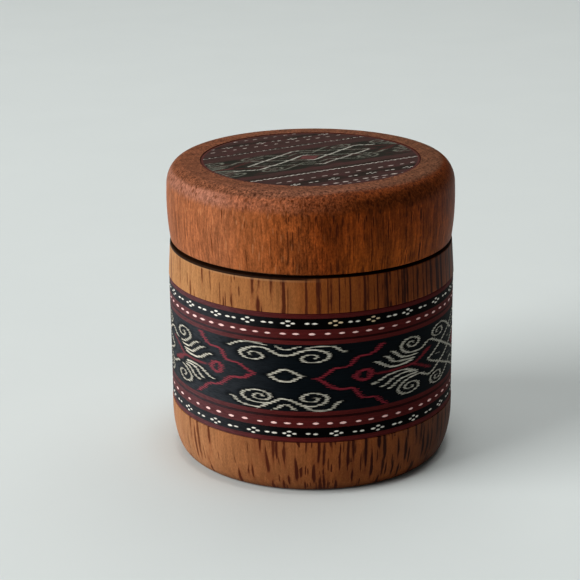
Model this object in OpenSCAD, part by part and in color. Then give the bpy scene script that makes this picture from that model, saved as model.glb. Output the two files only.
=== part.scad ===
// Round turned wooden trinket box with a lift-off lid.
// The body is a cup of streaky wood with a shallow groove that takes a strip of
// woven cloth. A liner ring glued into the mouth stands up as a neck, and the lid
// drops over it. The lid's top has a shallow seat that takes a disc of the same cloth.
// Millimetres, +Z up. The origin is the middle of the base, on the surface it stands on.

/* [Body] */
// Outer radius of the body
body_r = 40; // [35:0.5:50]
// Height of the body's rim above the base
rim_z = 61; // [56:0.5:75]
// Width of the rounded foot
foot_w = 3.8; // [2:0.2:6]
// Height of the rounded foot
foot_h = 12.5; // [6:0.5:14]
// How far the side leans in between the band and the rim
rim_in = 0.6; // [0:0.1:1]
// Thickness of the body's wall
wall = 6.5; // [5.5:0.5:8]
// Thickness of the floor of the cup
floor_t = 7; // [5:0.5:9]
// Radius of the fillet between the cup's floor and wall
floor_fillet = 3; // [1:0.5:5]
// Flat cut on the edges of the rim
rim_break = 0.3; // [0.1:0.1:0.6]

/* [Neck ring] */
// Thickness of the liner ring
neck_t = 3.3; // [2.5:0.1:4]
// Length of the ring that is glued into the mouth
neck_in = 9; // [6:0.5:12]
// Height of the ring above the rim
neck_up = 6; // [4:0.5:8]
// Flat cut on the top edges of the ring
neck_break = 0.6; // [0.2:0.1:1]
// Glue gap around the ring
neck_glue = 0.05; // [0.02:0.01:0.1]

/* [Lid] */
// Gap between the rim and the lid's lower edge
lid_gap = 0.8; // [0.3:0.1:1.5]
// Height of the lid
lid_h = 21.6; // [18:0.1:26]
// Radius of the lid at its lower edge
lid_r_low = 39.2; // [38.8:0.1:40]
// Radius of the lid at its widest
lid_r_max = 40; // [39.5:0.1:41]
// Height of the widest place above the lid's lower edge
lid_widest = 11; // [7:0.5:13]
// Width of the rounded shoulder
shoulder_w = 5; // [3:0.2:6]
// Height of the rounded shoulder
shoulder_h = 6.4; // [4:0.2:7]
// Radius of the rounded lower edge
lid_low_round = 0.8; // [0.4:0.1:1.2]
// Play between the neck and the lid, on the radius
lid_play = 0.2; // [0.1:0.05:0.4]
// Depth of the hollow above the neck's seat
lid_hollow = 9; // [5:0.5:10]
// Radius of the fillet in the top of the hollow
hollow_fillet = 3; // [1:0.5:4]

/* [Cloth] */
// Height of the band's lower edge above the base
band_z = 15.2; // [12:0.2:20]
// Width of the cloth band
band_w = 36.3; // [28:0.1:40]
// Thickness of the cloth
cloth_t = 0.45; // [0.3:0.05:0.6]
// Depth of the groove around the body
groove_d = 0.55; // [0.4:0.05:0.8]
// Width of the seam where the band's two ends meet
seam_w = 0.3; // [0.1:0.1:1]
// Radius of the cloth disc on the lid
disc_r = 30.3; // [24:0.1:32]
// Play around the disc in its seat
disc_play = 0.1; // [0.1:0.05:0.5]
// Depth of the seat in the lid's top
seat_d = 0.55; // [0.5:0.05:1.2]

/* [Hidden] */
$fn = 128;
cup_r = body_r - wall;                 // inside of the cup and of the ring
neck_r = cup_r + neck_t;               // outside of the ring
lid_z = rim_z + lid_gap;               // lid's lower edge
top_z = lid_z + lid_h;                 // top of the box
seat_z = rim_z + neck_up;              // lid rests here, on the ring
sock_r = neck_r + lid_play;            // lid's socket
groove_r = body_r - groove_d;          // floor of the groove
band_in = groove_r + 0.05;             // cloth lies on its glue
shoulder_z = top_z - shoulder_h;       // where the shoulder starts

// Points of a quarter ellipse about (cx, cz), from angle a0 to a1
function arc(cx, cz, rx, rz, a0, a1, n) =
    [for (i = [0 : n]) let (a = a0 + (a1 - a0) * i / n) [cx + rx * cos(a), cz + rz * sin(a)]];

// Radius of the lid's side at height z: a shallow bulge
function lid_side(z) =
    lid_r_max - (lid_r_max - lid_r_low) * pow((z - lid_z - lid_widest) / lid_widest, 2);

// Turned cup with a rounded foot, a groove for the band, a side that leans in to the rim,
// and a rebate for the ring
module body_cup() {
    color([0.62, 0.38, 0.18])
    rotate_extrude()
    polygon(concat(
        [[0, 0]],
        arc(body_r - foot_w, foot_h, foot_w, foot_h, -90, 0, 20),
        [[body_r, band_z - 0.1], [groove_r, band_z - 0.1],
         [groove_r, band_z + band_w + 0.1], [body_r, band_z + band_w + 0.1],
         [body_r - rim_in, rim_z - rim_break], [body_r - rim_in - rim_break, rim_z],
         [neck_r + neck_glue + rim_break, rim_z], [neck_r + neck_glue, rim_z - rim_break],
         [neck_r + neck_glue, rim_z - neck_in], [cup_r, rim_z - neck_in]],
        arc(cup_r - floor_fillet, floor_t + floor_fillet, floor_fillet, floor_fillet, 0, -90, 10),
        [[0, floor_t]]
    ));
}

// Liner ring: its lower part is glued into the mouth, its upper part guides the lid
module neck_ring() {
    color([0.55, 0.33, 0.17])
    rotate_extrude()
    polygon([
        [cup_r, rim_z - neck_in], [neck_r, rim_z - neck_in],
        [neck_r, seat_z - neck_break], [neck_r - neck_break, seat_z],
        [cup_r + neck_break / 2, seat_z], [cup_r, seat_z - neck_break / 2]
    ]);
}

// Strip of woven cloth round the body, its two ends meeting at the back
module body_band() {
    color([0.09, 0.10, 0.12])
    difference() {
        translate([0, 0, band_z]) cylinder(r = band_in + cloth_t, h = band_w);
        translate([0, 0, band_z - 1]) cylinder(r = band_in, h = band_w + 2);
        translate([-seam_w / 2, band_in - 2, band_z - 1]) cube([seam_w, 4, band_w + 2]);
    }
}

// Turned lid with a bulging side and a rounded shoulder, hollow underneath
module lid_cap() {
    color([0.50, 0.25, 0.13])
    rotate_extrude()
    polygon(concat(
        [[sock_r + 0.3, lid_z]],
        arc(lid_side(lid_z + lid_low_round) - lid_low_round, lid_z + lid_low_round,
            lid_low_round, lid_low_round, -90, 0, 5),
        [for (i = [1 : 10]) let (z = lid_z + lid_low_round
             + (shoulder_z - lid_z - lid_low_round) * i / 11) [lid_side(z), z]],
        arc(lid_side(shoulder_z) - shoulder_w, shoulder_z, shoulder_w, shoulder_h, 0, 90, 16),
        [[disc_r + disc_play, top_z], [disc_r + disc_play, top_z - seat_d],
         [0, top_z - seat_d], [0, seat_z + lid_hollow]],
        arc(cup_r - hollow_fillet, seat_z + lid_hollow - hollow_fillet,
            hollow_fillet, hollow_fillet, 90, 0, 8),
        [[cup_r, seat_z], [sock_r, seat_z], [sock_r, lid_z + 0.3]]
    ));
}

// Disc of woven cloth laid in the seat on the lid's top
module lid_disc() {
    color([0.16, 0.12, 0.12])
    translate([0, 0, top_z - seat_d]) cylinder(r = disc_r, h = cloth_t);
}

body_cup();
neck_ring();
body_band();
lid_cap();
lid_disc();
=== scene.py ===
import bpy
import math
import numpy as np
from mathutils import Matrix, Vector


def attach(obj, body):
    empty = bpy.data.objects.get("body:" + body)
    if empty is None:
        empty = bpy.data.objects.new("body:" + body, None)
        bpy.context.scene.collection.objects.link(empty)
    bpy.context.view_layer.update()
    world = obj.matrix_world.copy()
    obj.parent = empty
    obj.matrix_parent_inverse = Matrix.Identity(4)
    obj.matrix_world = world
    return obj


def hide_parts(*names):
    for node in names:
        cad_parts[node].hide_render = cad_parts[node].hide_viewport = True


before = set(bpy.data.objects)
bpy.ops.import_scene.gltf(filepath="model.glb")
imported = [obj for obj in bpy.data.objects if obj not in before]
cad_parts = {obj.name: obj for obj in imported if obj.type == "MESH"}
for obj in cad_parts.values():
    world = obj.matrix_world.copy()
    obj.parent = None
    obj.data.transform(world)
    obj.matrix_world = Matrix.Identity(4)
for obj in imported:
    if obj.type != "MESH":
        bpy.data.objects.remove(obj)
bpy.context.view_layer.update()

MM = 0.001
rng = np.random.RandomState(4107)

# ------------------------------------------------------------------ sizes, mm
BODY_R, RIM_Z = 40.0, 61.0
CUP_R, FLOOR_T = 33.5, 7.0
NECK_R, SEAT_Z = 36.8, 67.0
LID_Z, TOP_Z = 61.8, 83.4
LID_LOW, LID_MAX, LID_WIDE = 39.2, 40.0, 11.0
BAND_Z, BAND_W = 15.2, 36.3
DISC_R = 30.3


# ------------------------------------------------------------------ node help
class Shader:
    """A material with a Principled surface, and short words for the nodes that feed it."""

    def __init__(self, name):
        self.mat = bpy.data.materials.new(name)
        self.mat.use_nodes = True
        self.nt = self.mat.node_tree
        self.nt.nodes.clear()
        self.out = self.nt.nodes.new("ShaderNodeOutputMaterial")
        self.bsdf = self.nt.nodes.new("ShaderNodeBsdfPrincipled")
        self.nt.links.new(self.bsdf.outputs[0], self.out.inputs[0])

    def put(self, sock, v):
        if hasattr(v, "is_output"):
            self.nt.links.new(v, sock)
        elif hasattr(v, "__len__") and len(v) == 3 and len(sock.default_value) == 4:
            sock.default_value = (*v, 1.0)
        else:
            sock.default_value = v

    def set(self, **kw):
        for k, v in kw.items():
            self.put(self.bsdf.inputs[k.replace("_", " ")], v)

    def node(self, kind, **props):
        n = self.nt.nodes.new(kind)
        for k, v in props.items():
            setattr(n, k, v)
        return n

    def math(self, op, a, b=None, c=None, clamp=False):
        n = self.node("ShaderNodeMath", operation=op, use_clamp=clamp)
        for i, v in enumerate((a, b, c)):
            if v is not None:
                self.put(n.inputs[i], v)
        return n.outputs[0]

    def vmath(self, op, a, b=None, scale=None):
        n = self.node("ShaderNodeVectorMath", operation=op)
        self.put(n.inputs[0], a)
        if b is not None:
            self.put(n.inputs[1], b)
        if scale is not None:
            self.put(n.inputs["Scale"], scale)
        return n.outputs[0]

    def mix(self, fac, a, b, blend="MIX"):
        n = self.node("ShaderNodeMix", data_type="RGBA", blend_type=blend)
        self.put(n.inputs[0], fac)
        self.put(n.inputs[6], a)
        self.put(n.inputs[7], b)
        return n.outputs[2]

    def step(self, v, lo, hi, to_lo=0.0, to_hi=1.0):
        n = self.node("ShaderNodeMapRange", interpolation_type="SMOOTHSTEP")
        self.put(n.inputs[0], v)
        for i, x in enumerate((lo, hi, to_lo, to_hi)):
            self.put(n.inputs[i + 1], x)
        return n.outputs[0]

    def line(self, v, lo, hi, to_lo=0.0, to_hi=1.0):
        n = self.node("ShaderNodeMapRange", interpolation_type="LINEAR", clamp=True)
        self.put(n.inputs[0], v)
        for i, x in enumerate((lo, hi, to_lo, to_hi)):
            self.put(n.inputs[i + 1], x)
        return n.outputs[0]

    def noise(self, vec, scale=1.0, detail=2.0, rough=0.5, dims="3D"):
        n = self.node("ShaderNodeTexNoise", noise_dimensions=dims)
        self.put(n.inputs["Vector"], vec)
        self.put(n.inputs["Scale"], scale)
        self.put(n.inputs["Detail"], detail)
        self.put(n.inputs["Roughness"], rough)
        return n

    def cells(self, vec, dims="2D", feature="F1", randomness=1.0):
        n = self.node("ShaderNodeTexVoronoi", voronoi_dimensions=dims, feature=feature)
        self.put(n.inputs["Vector"], vec)
        self.put(n.inputs["Scale"], 1.0)
        self.put(n.inputs["Randomness"], randomness)
        return n

    def split(self, vec):
        n = self.node("ShaderNodeSeparateXYZ")
        self.put(n.inputs[0], vec)
        return n.outputs

    def join(self, x, y, z):
        n = self.node("ShaderNodeCombineXYZ")
        for i, v in enumerate((x, y, z)):
            self.put(n.inputs[i], v)
        return n.outputs[0]

    def rgb(self, col):
        n = self.node("ShaderNodeSeparateColor")
        self.put(n.inputs[0], col)
        return n.outputs

    def attr(self, name, out="Fac"):
        n = self.node("ShaderNodeAttribute", attribute_name=name)
        return n.outputs[out]

    def bump(self, height, strength, distance, normal=None):
        n = self.node("ShaderNodeBump")
        self.put(n.inputs["Strength"], strength)
        self.put(n.inputs["Distance"], distance)
        self.put(n.inputs["Height"], height)
        if normal is not None:
            self.put(n.inputs["Normal"], normal)
        return n.outputs[0]

    def place_mm(self):
        """The piece's own coordinates, in millimetres."""
        n = self.node("ShaderNodeTexCoord")
        return self.vmath("SCALE", n.outputs["Object"], scale=1000.0), n.outputs["Normal"]


# ------------------------------------------------------------------ wood
def tones(sh, v, table):
    """Colours that pass into each other: table holds (place, colour), going up."""
    lo, hi = table[0][0], table[-1][0]
    n = sh.node("ShaderNodeValToRGB")
    ramp = n.color_ramp
    ramp.interpolation = "EASE"
    ramp.elements[0].color = (*table[0][1], 1.0)
    ramp.elements[1].color = (*table[-1][1], 1.0)
    for at, col in table[1:-1]:
        ramp.elements.new((at - lo) / (hi - lo)).color = (*col, 1.0)
    sh.put(n.inputs[0], sh.line(v, lo, hi))
    return n.outputs[0]


def bundles(sh, qx, qy, cell, seed, keep, r_lo, r_hi, swell):
    """Fibre bundles that run up the wood, round in section. Gives a mask of the bundles,
    a softer mask of their sheaths, and each bundle's random number."""
    v = sh.cells(sh.join(sh.math("MULTIPLY_ADD", qx, 1.0 / cell, seed),
                         sh.math("MULTIPLY_ADD", qy, 1.0 / cell, seed * 0.61), 0.0))
    cr, cg, cb = sh.rgb(v.outputs["Color"])
    radius = sh.math("MULTIPLY", sh.line(cr, 0.0, 1.0, r_lo / cell, r_hi / cell), swell)
    d = sh.math("DIVIDE", v.outputs["Distance"], radius)
    there = sh.math("LESS_THAN", cg, keep)
    core = sh.math("MULTIPLY", sh.step(d, 1.12, 0.68), there)
    sheath = sh.math("MULTIPLY", sh.step(d, 2.1, 0.9), there)
    return core, sheath, cb


def outward(sh, x, y):
    """The way out from the axis, and how far out a place is."""
    r = sh.math("SQRT", sh.math("MULTIPLY_ADD", x, x, sh.math("MULTIPLY", y, y)))
    safe = sh.math("MAXIMUM", r, 8.0)
    return sh.math("DIVIDE", x, safe), sh.math("DIVIDE", y, safe), r


def lean(sh, p, by_x, by_y, amount, seed=0.0):
    """Where a place in the wood lies on the end of the log: the fibres lean as they rise, and drift a little."""
    x, y, _ = sh.split(p)
    drift = sh.noise(sh.vmath("ADD", p, (seed, 0.0, 0.0)), scale=0.08, detail=1.0)
    dr, dg, _ = sh.rgb(drift.outputs["Color"])
    qx = sh.math("MULTIPLY_ADD", sh.math("SUBTRACT", dr, 0.5), amount, sh.math("ADD", x, by_x))
    qy = sh.math("MULTIPLY_ADD", sh.math("SUBTRACT", dg, 0.5), amount, sh.math("ADD", y, by_y))
    return qx, qy


def body_wood(name, finish=True):
    sh = Shader(name)
    p, normal = sh.place_mm()
    x, y, z = sh.split(p)
    big = sh.math("SUBTRACT", sh.noise(p, scale=0.03, detail=1.0).outputs[0], 0.5)
    xb = sh.math("MULTIPLY_ADD", big, 18.0, x)
    # the bundles crowd together and stand upright on one side of the blank, and lean back on the other
    right = sh.step(sh.math("MULTIPLY_ADD", sh.step(z, 38.0, 24.0), 9.0, xb), -14.0, 16.0)
    steep = sh.math("MULTIPLY", right, sh.step(z, 16.0, 44.0))
    ux, uy, out = outward(sh, x, y)
    g_left = sh.math("MULTIPLY", z, 0.125)
    g_right = sh.math("MULTIPLY", sh.math("TANH", sh.math("MULTIPLY", z, 1.0 / 22.0)), 2.9)
    long = sh.math("MAXIMUM", right, sh.math("MULTIPLY", sh.step(xb, -16.0, 2.0), sh.step(z, 30.0, 46.0)))
    g = sh.math("MULTIPLY_ADD", long, sh.math("SUBTRACT", g_right, g_left), g_left)
    # they follow most of the way round the foot and in to the rim
    hug = sh.math("MULTIPLY", sh.math("MINIMUM", sh.math("MAXIMUM", sh.math("SUBTRACT", BODY_R, out), 0.0), 3.2), 0.92)
    both = sh.math("MULTIPLY_ADD", g, right, hug)
    by_x = sh.math("MULTIPLY", ux, both)
    by_y = sh.math("SUBTRACT", sh.math("MULTIPLY", uy, both), sh.math("MULTIPLY", g, sh.math("SUBTRACT", 1.0, right)))
    qx, qy = lean(sh, p, by_x, by_y, sh.line(steep, 0.0, 1.0, 0.95, 0.45))
    uneven = sh.noise(sh.vmath("MULTIPLY", p, (0.9, 0.9, 0.30)), detail=1.0).outputs[0]
    swell = sh.line(uneven, 0.25, 0.75, 0.66, 1.30)
    swell = sh.math("MULTIPLY", swell, sh.math("MULTIPLY_ADD", steep, sh.line(xb, 6.0, 32.0, 0.10, 0.62), 1.0))
    keep = sh.line(xb, -36.0, -10.0, 0.36, 0.64)
    below = sh.step(z, 24.0, 12.0)
    keep = sh.math("MULTIPLY_ADD", below, 0.15, keep)
    keep = sh.math("MULTIPLY_ADD", right, sh.math("SUBTRACT", sh.math("MULTIPLY_ADD", below, -0.14, 0.97), keep), keep)
    wide = sh.math("MULTIPLY", swell, sh.math("ADD", sh.math("MULTIPLY_ADD", below, 0.34, 1.0), sh.math("MULTIPLY", sh.math("MULTIPLY", sh.step(xb, -32.0, -22.0), sh.step(xb, 2.0, -8.0)), sh.line(z, 38.0, 50.0, 0.0, 0.24))))
    a_core, a_sheath, a_id = bundles(sh, qx, qy, 1.62, 3.7, keep, 0.17, 0.50, wide)
    few = sh.math("MULTIPLY", sh.line(z, 3.0, 15.0, 0.25, 0.95), sh.line(xb, 16.0, 36.0, 1.0, 0.40))
    clear = sh.math("MULTIPLY", sh.math("MULTIPLY", sh.step(xb, -6.0, 2.0), sh.step(xb, 20.0, 11.0)), sh.step(z, 30.0, 46.0))
    few = sh.math("MULTIPLY", few, sh.math("MULTIPLY_ADD", clear, -0.62, 1.0))
    b_core, b_sheath, b_id = bundles(sh, qx, qy, 0.90, 17.3, sh.math("MULTIPLY", sh.line(right, 0.0, 1.0, 0.18, 0.97), few), 0.11, 0.32, swell)
    fibre = sh.noise(sh.vmath("MULTIPLY", p, (1.3, 1.3, 0.08)), detail=3.0, rough=0.6).outputs[0]
    cloud = sh.noise(sh.vmath("MULTIPLY", p, (0.09, 0.09, 0.035)), detail=2.0).outputs[0]
    speck = sh.noise(sh.vmath("MULTIPLY", p, (3.6, 3.6, 1.3)), detail=2.0, rough=0.6).outputs[0]
    upper = tones(sh, xb, [(-38.0, (0.420, 0.198, 0.077)), (-12.0, (0.318, 0.121, 0.0385)), (4.0, (0.216, 0.0575, 0.0108)),
                           (20.0, (0.200, 0.0455, 0.0076)), (38.0, (0.146, 0.036, 0.0100))])
    lower = tones(sh, xb, [(-38.0, (0.392, 0.174, 0.075)), (-12.0, (0.238, 0.081, 0.0270)), (4.0, (0.206, 0.060, 0.0163)),
                           (20.0, (0.215, 0.058, 0.0145)), (38.0, (0.092, 0.028, 0.0105))])
    base = sh.mix(sh.step(z, 38.0, 28.0), upper, lower)
    base = sh.vmath("SCALE", base, scale=sh.line(cloud, 0.3, 0.7, 0.90, 1.12))
    # the dark side is darkest near the rim
    base = sh.vmath("SCALE", base, scale=sh.math("MULTIPLY_ADD", sh.math("MULTIPLY", sh.step(xb, 18.0, 29.0), sh.step(z, 50.0, 58.0)), -0.32, 1.0))
    # the foot is painted darker where it meets the table, a painted contact shadow
    base = sh.vmath("SCALE", base, scale=sh.math("MULTIPLY", sh.line(z, 1.0, 12.0, 0.90, 1.0), sh.line(z, 0.4, 2.2, 0.62, 1.0)))
    base = sh.vmath("SCALE", base, scale=sh.line(fibre, 0.25, 0.75, 1.22, 0.76))
    base = sh.vmath("SCALE", base, scale=sh.line(speck, 0.25, 0.75, 1.24, 0.76))
    core = sh.mix(sh.step(xb, -34.0, -17.0), (0.110, 0.0285, 0.0095), (0.066, 0.0118, 0.0044))
    core = sh.mix(right, core, sh.mix(sh.step(xb, 6.0, 24.0), (0.034, 0.0052, 0.0025), (0.015, 0.0029, 0.0017)))
    base = sh.mix(sh.math("MULTIPLY", a_sheath, 0.30), base, sh.vmath("SCALE", core, scale=2.4))
    base = sh.mix(sh.math("MULTIPLY", b_core, sh.line(b_id, 0.0, 1.0, 0.60, 0.98)), base, sh.vmath("SCALE", core, scale=1.15))
    base = sh.mix(sh.math("MULTIPLY", a_core, sh.line(a_id, 0.0, 1.0, 0.85, 1.0)), base, core)
    nz = sh.split(normal)[2]
    # the edge of the rim is painted paler on the lit side, a painted highlight, and its top is painted dark as painted
    # shade from the gap under the lid, like the ring that stands in it
    rim = sh.math("MULTIPLY", sh.step(z, 59.85, 60.2), sh.step(nz, 0.9, 0.6))
    base = sh.mix(sh.math("MULTIPLY", rim, sh.line(xb, -12.0, 5.0, 0.45, 0.0)), base, (0.410, 0.222, 0.112))
    if finish:
        gap_shade = sh.math("MULTIPLY", sh.step(z, 60.5, 60.8), sh.step(nz, 0.72, 0.95))
        # on the pale half the painted shade reaches a little over the lip, a painted shadow under the lid
        run = sh.step(sh.math("ADD", z, sh.line(x, -36.0, -4.0, 0.28, 0.0)), 60.50, 60.64)
        gap_shade = sh.math("MAXIMUM", gap_shade, sh.math("MULTIPLY", run, sh.step(x, 4.0, -4.0)))
        base = sh.mix(sh.math("MULTIPLY", gap_shade, 0.97), base, (0.010, 0.0034, 0.0018))
    else:
        # the ring is painted nearly black, painted shade for where it shows in the gap under the lid
        base = sh.mix(0.80, base, (0.020, 0.0075, 0.0034))
    rough = sh.math("MULTIPLY_ADD", fibre, 0.14, 0.44 if finish else 0.60)
    height = sh.math("MULTIPLY_ADD", a_core, -0.5, sh.math("MULTIPLY", fibre, 0.5))
    sh.set(Base_Color=base, Roughness=rough, Normal=sh.bump(height, 0.25, 0.00006))
    sh.set(Specular_IOR_Level=0.04)
    return sh.mat


def lid_wood(name):
    sh = Shader(name)
    p, normal = sh.place_mm()
    x, y, z = sh.split(p)
    side = sh.step(x, -26.0, 20.0)
    down = sh.math("SUBTRACT", TOP_Z, z)
    ux, uy, out = outward(sh, x, y)
    ga, gb = sh.math("MULTIPLY", sh.math("TANH", sh.math("MULTIPLY", down, 1.0 / 14.0)), 1.75), sh.math("MULTIPLY", down, 0.19)
    qx, qy = lean(sh, p, sh.math("MULTIPLY", ux, ga), sh.math("MULTIPLY", uy, ga), 1.4, 70.0)
    fx, fy = lean(sh, p, sh.math("MULTIPLY", ux, gb), sh.math("MULTIPLY", uy, gb), 1.4, 130.0)
    uneven = sh.noise(sh.vmath("MULTIPLY", p, (1.2, 1.2, 0.5)), detail=1.0).outputs[0]
    swell = sh.line(uneven, 0.25, 0.75, 0.55, 1.40)
    a_core, a_sheath, a_id = bundles(sh, qx, qy, 0.82, 23.1, sh.line(side, 0.0, 1.0, 0.55, 0.92), 0.10, 0.27, swell)
    b_core, b_sheath, b_id = bundles(sh, fx, fy, 1.05, 41.9, sh.line(side, 0.0, 1.0, 0.66, 0.34), 0.11, 0.26, swell)
    c_core, c_sheath, c_id = bundles(sh, fx, fy, 1.30, 67.3, sh.line(x, -34.0, 2.0, 0.48, 0.84), 0.14, 0.42, swell)
    grain = lambda across, along: sh.noise(sh.join(sh.math("MULTIPLY", qx, across), sh.math("MULTIPLY", qy, across),
                                                   sh.math("MULTIPLY", z, along)), detail=3.0, rough=0.65).outputs[0]
    fibre, streak = grain(1.35, 0.22), grain(0.42, 0.05)
    bands = sh.noise(sh.vmath("MULTIPLY", p, (0.20, 0.20, 0.02)), detail=2.0).outputs[0]
    speck = sh.noise(sh.vmath("MULTIPLY", p, (2.4, 2.4, 1.4)), detail=2.0, rough=0.65).outputs[0]
    base = tones(sh, x, [(-38.0, (0.318, 0.102, 0.0390)), (-25.0, (0.330, 0.107, 0.0420)), (-16.0, (0.302, 0.086, 0.0250)), (-9.0, (0.248, 0.061, 0.0135)), (4.0, (0.162, 0.0305, 0.0040)),
                         (20.0, (0.226, 0.0428, 0.0054)), (38.0, (0.176, 0.0330, 0.0046))])
    # the dark half is more golden low down
    gold = sh.math("MULTIPLY", sh.step(z, 75.0, 63.0), sh.step(x, 2.0, 13.0))
    base = sh.vmath("MULTIPLY", base, sh.mix(gold, (1.0, 1.0, 1.0), (1.22, 1.36, 1.15)))
    base = sh.vmath("SCALE", base, scale=sh.line(bands, 0.3, 0.7, 1.10, 0.90))
    base = sh.vmath("SCALE", base, scale=sh.math("MULTIPLY_ADD", sh.line(streak, 0.3, 0.7, 0.42, -0.50), sh.line(side, 0.0, 1.0, 0.35, 1.0), 1.0))
    # the grain is liveliest between the two halves
    lively = sh.math("MINIMUM", sh.line(side, 0.15, 0.45, 1.0, 1.65), sh.line(side, 0.60, 0.85, 1.65, 1.15))
    base = sh.vmath("SCALE", base, scale=sh.math("MULTIPLY_ADD", sh.line(fibre, 0.28, 0.72, 0.44, -0.44), lively, 1.0))
    base = sh.vmath("SCALE", base, scale=sh.math("MULTIPLY_ADD", sh.line(speck, 0.25, 0.75, 0.30, -0.28), lively, 1.0))
    pale = sh.mix(side, (0.500, 0.215, 0.095), (0.330, 0.100, 0.026))
    base = sh.mix(sh.math("MULTIPLY", sh.math("MULTIPLY", b_core, sh.line(side, 0.2, 0.6, 1.0, 0.25)), sh.line(b_id, 0.0, 1.0, 0.08, 0.55)), base, pale)
    dark = sh.mix(sh.step(x, -26.0, 4.0), (0.106, 0.0250, 0.0067), (0.039, 0.0066, 0.0016))
    base = sh.mix(sh.math("MULTIPLY", a_core, sh.line(a_id, 0.0, 1.0, 0.40, 1.0)), base, dark)
    # the shoulder is painted pinker on the lit pale half, a painted highlight, and darker on the other, painted shade,
    # with open pores
    nz = sh.math("ABSOLUTE", sh.split(normal)[2])
    grit = sh.noise(sh.vmath("MULTIPLY", p, (1.25, 1.25, 0.9)), detail=3.0, rough=0.7).outputs[0]
    high = sh.step(z, 69.0, 74.0)
    turn = sh.math("MULTIPLY", sh.step(nz, 0.01, 0.36), high)
    shoulder_sheen_shade = tones(sh, x, [(-39.0, (0.235, 0.100, 0.067)), (-27.0, (0.288, 0.119, 0.078)), (-18.0, (0.262, 0.084, 0.041)), (-10.0, (0.228, 0.075, 0.036)), (1.0, (0.150, 0.0410, 0.0150)), (13.0, (0.118, 0.0270, 0.0062))])
    shoulder_sheen_shade = sh.vmath("SCALE", shoulder_sheen_shade, scale=sh.line(grit, 0.32, 0.68, 1.70, 0.42))
    shoulder_sheen_shade = sh.vmath("SCALE", shoulder_sheen_shade, scale=sh.math("MULTIPLY_ADD", sh.line(speck, 0.25, 0.75, 0.52, -0.48), sh.line(x, -30.0, -6.0, 0.6, 1.6), 1.0))
    e_core, e_sheath, e_id = bundles(sh, fx, fy, 1.60, 91.7, sh.line(x, -32.0, -8.0, 0.32, 0.90), 0.18, 0.50, swell)
    shoulder_sheen_shade = sh.mix(sh.math("MULTIPLY", e_core, sh.line(e_id, 0.0, 1.0, 0.60, 0.97)), shoulder_sheen_shade, sh.vmath("SCALE", dark, scale=0.80))
    base = sh.mix(sh.math("MULTIPLY", turn, sh.line(x, -26.0, 2.0, 0.82, 0.78)), base, shoulder_sheen_shade)
    flat = tones(sh, x, [(-38.0, (0.160, 0.056, 0.0275)), (5.0, (0.158, 0.060, 0.0325)), (38.0, (0.120, 0.049, 0.0252))])
    flat = sh.vmath("SCALE", flat, scale=sh.line(grit, 0.32, 0.68, 1.66, 0.46))
    flat = sh.vmath("SCALE", flat, scale=sh.line(speck, 0.25, 0.75, 1.75, 0.34))
    # growth rings of a much wider tree
    far = sh.math("SQRT", sh.math("ADD", sh.math("POWER", sh.math("ADD", x, 55.0), 2.0), sh.math("POWER", sh.math("SUBTRACT", y, 80.0), 2.0)))
    rings = sh.math("SINE", sh.math("MULTIPLY_ADD", bands, 7.0, sh.math("MULTIPLY", far, 1.15)))
    flat = sh.vmath("SCALE", flat, scale=sh.line(rings, -1.0, 1.0, 0.88, 1.12))
    flat = sh.mix(sh.math("MULTIPLY", c_core, sh.line(c_id, 0.0, 1.0, 0.5, 0.95)), flat, (0.040, 0.0110, 0.0050))
    # on the pale half the top's colour reaches over the edge, so the painted shoulder highlight starts lower, and on
    # the other the shoulder's foot is painted darker, painted shade
    over = sh.math("ADD", nz, sh.line(x, -14.0, 7.0, 0.28, 0.0))
    base = sh.mix(sh.step(over, 0.84, 1.0), base, flat)
    foot = sh.math("MULTIPLY", sh.step(nz, -0.02, 0.14), sh.step(sh.math("SUBTRACT", nz, sh.line(x, 2.0, 26.0, 0.0, 0.32)), 0.50, 0.32))
    foot = sh.math("MULTIPLY", sh.math("MULTIPLY", foot, sh.math("MULTIPLY", high, sh.line(x, 27.0, 37.0, 1.0, 0.35))), sh.line(x, -8.0, 16.0, 0.0, -0.40))
    base = sh.vmath("SCALE", base, scale=sh.math("ADD", foot, 1.0))
    # the wall of the cloth's seat is painted dark
    seat = sh.math("MULTIPLY", sh.step(out, DISC_R + 0.24, DISC_R + 0.12), sh.step(z, TOP_Z - 0.75, TOP_Z - 0.60))
    base = sh.mix(sh.math("MULTIPLY", seat, 0.85), base, (0.050, 0.0140, 0.0100))
    rough = sh.math("MULTIPLY_ADD", fibre, 0.12, 0.40)
    height = sh.math("MULTIPLY_ADD", a_core, -0.5, sh.math("MULTIPLY", fibre, 0.6))
    sh.set(Base_Color=base, Roughness=rough, Normal=sh.bump(height, 0.28, 0.00005))
    sh.set(Specular_IOR_Level=0.03)
    return sh.mat


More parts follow.
